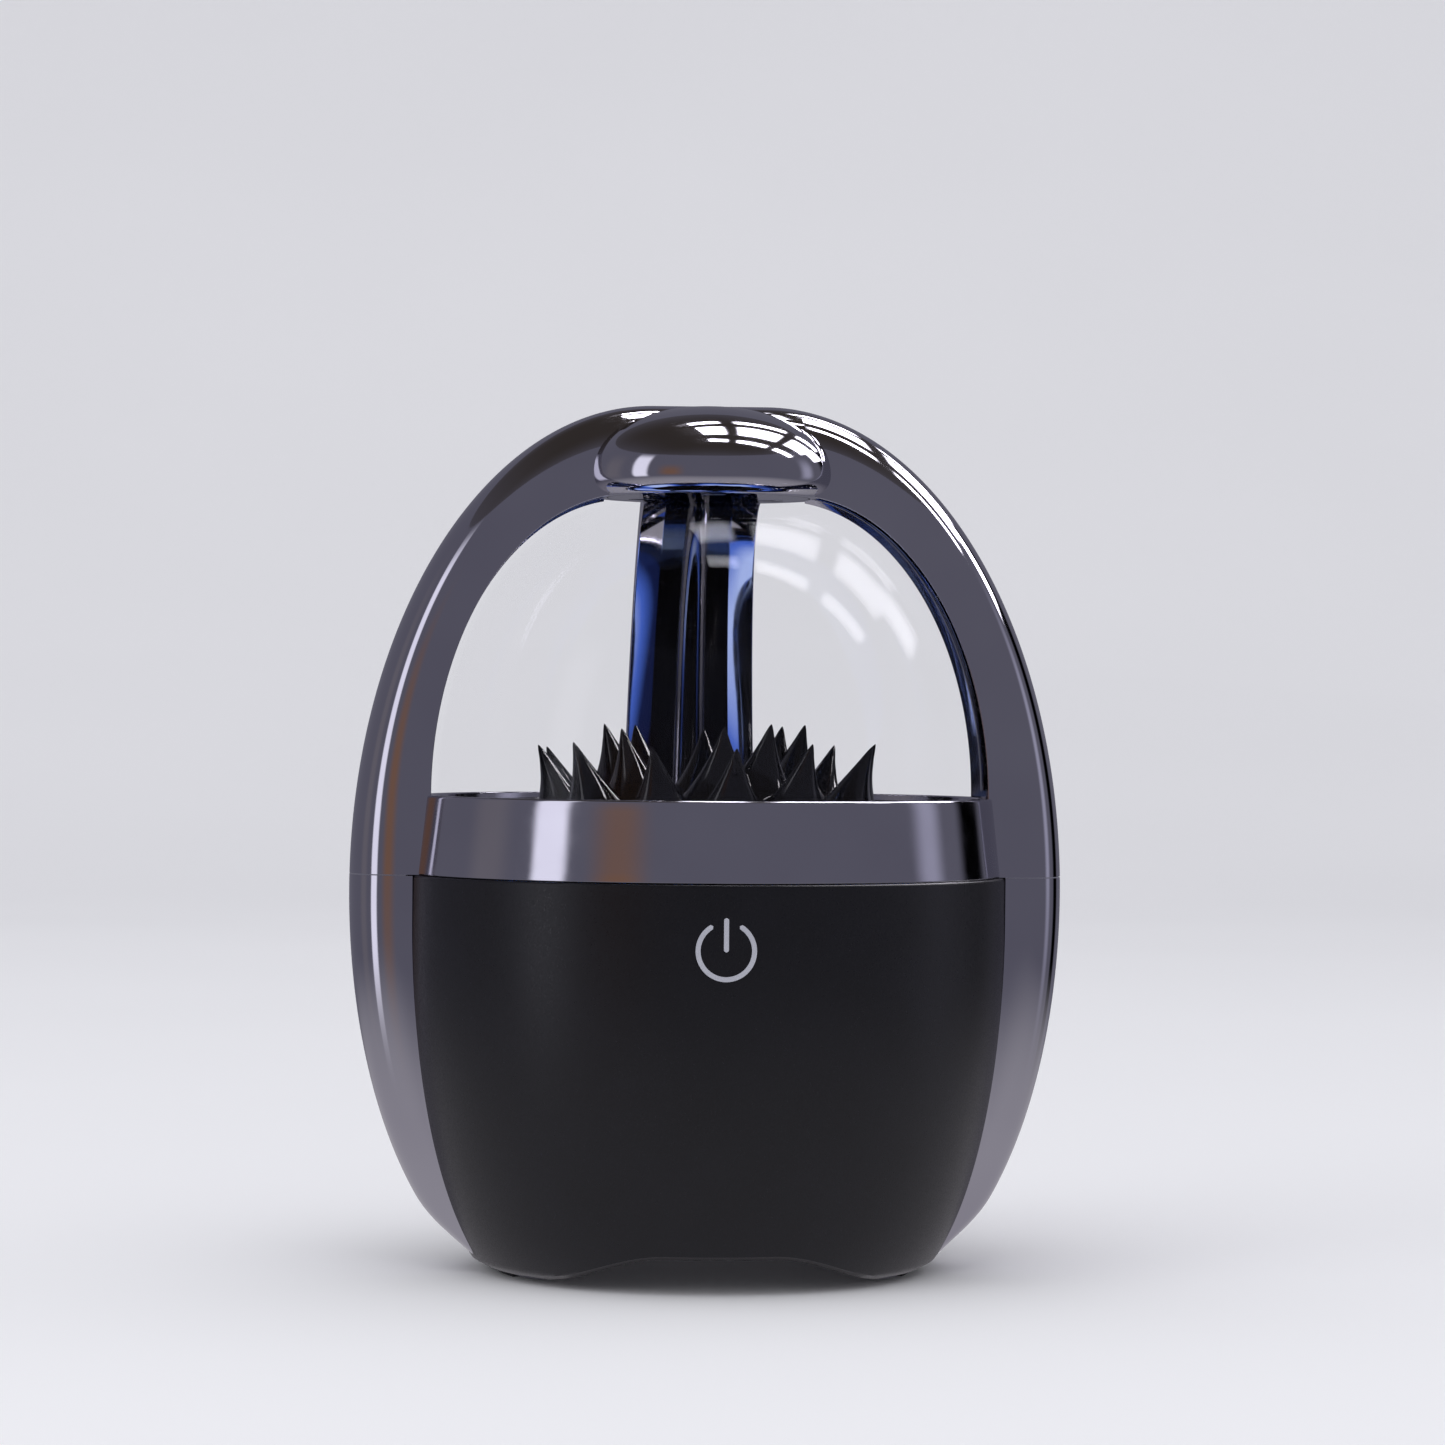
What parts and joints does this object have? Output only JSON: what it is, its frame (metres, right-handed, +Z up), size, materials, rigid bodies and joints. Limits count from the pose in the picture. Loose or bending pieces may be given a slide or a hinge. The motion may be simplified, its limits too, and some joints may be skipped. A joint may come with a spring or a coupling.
{
  "type": "ferrofluid display speaker",
  "caption": "Egg-shaped desk speaker with a clear dome of spiked ferrofluid held in a dark chrome cage of arms over a matte black round base.",
  "frame": {"origin": "on the axis of the round base, at the level of the floor it stands on", "axes": "+Z up along the axis of the base; the touch key's side, the front, faces -Y; the third arm is at +Y; +X to the right seen from the front"},
  "size_m": [0.1244, 0.1148, 0.1505],
  "materials": {
    "shell_black": "fine matte, moulded",
    "inner_abs": "moulded, plain",
    "rubber": "matte",
    "screw_steel": "zinc plated",
    "dark_chrome": "black nickel plated, polished",
    "gloss_black": "polished",
    "clear_dome": "clear, polished",
    "magnetic_fluid": "wet black",
    "frosted_guide": "frosted",
    "board_green": "solder resist",
    "iron": "turned",
    "bobbin_nylon": "natural nylon",
    "copper_wire": "enamelled wire",
    "cell_wrap": "shrink wrap",
    "strap_web": "woven tape",
    "basket_steel": "powder coated",
    "ferrite": "sintered",
    "spider_cloth": "resin-dipped cloth",
    "cone_paper": "pressed pulp",
    "icon_grey": "satin",
    "socket_steel": "stamped"
  },
  "bodies": {
    "housing": {"base_shell": "shell_black", "bottom_plate": "inner_abs", "foot_pad_left": "rubber", "foot_pad_right": "rubber", "base_screws": "screw_steel", "lower_arm_left": "dark_chrome", "lower_arm_right": "dark_chrome", "lower_arm_back": "dark_chrome", "arm_screws": "screw_steel", "cage": "dark_chrome", "arm_inlay_left": "gloss_black", "arm_inlay_right": "gloss_black", "arm_inlay_back": "gloss_black", "hub_plate": "gloss_black", "hub_screws": "screw_steel", "trim_ring": "dark_chrome", "glass_dome": "clear_dome", "dome_gasket": "rubber", "fluid_dish": "gloss_black", "ferrofluid": "magnetic_fluid", "deck_screws": "screw_steel", "light_guide": "frosted_guide", "led_board": "board_green", "magnet_yoke": "iron", "magnet_core": "iron", "coil_bobbin": "bobbin_nylon", "magnet_coil": "copper_wire", "chassis_plate": "inner_abs", "chassis_screws": "screw_steel", "main_board": "board_green", "board_screws": "screw_steel", "battery_cell": "cell_wrap", "battery_cradle": "inner_abs", "battery_strap": "strap_web", "driver_basket": "basket_steel", "driver_screws": "screw_steel", "motor_plate": "iron", "motor_magnet": "ferrite", "motor_yoke": "iron", "driver_surround": "rubber", "driver_spider": "spider_cloth", "power_icon": "icon_grey", "touch_board": "board_green", "charge_port": "socket_steel", "charge_board": "board_green"},
    "cone": {"speaker_cone": "cone_paper", "voice_coil": "copper_wire"}
  },
  "joints": [
    {"name": "cone_travel", "type": "slide", "parent": "housing", "child": "cone", "axis": [0, 0, -1], "range_m": [-0.0015, 0.0015], "stiffness_N_per_m": 1500, "deforming": ["driver_surround", "driver_spider"]}
  ]
}
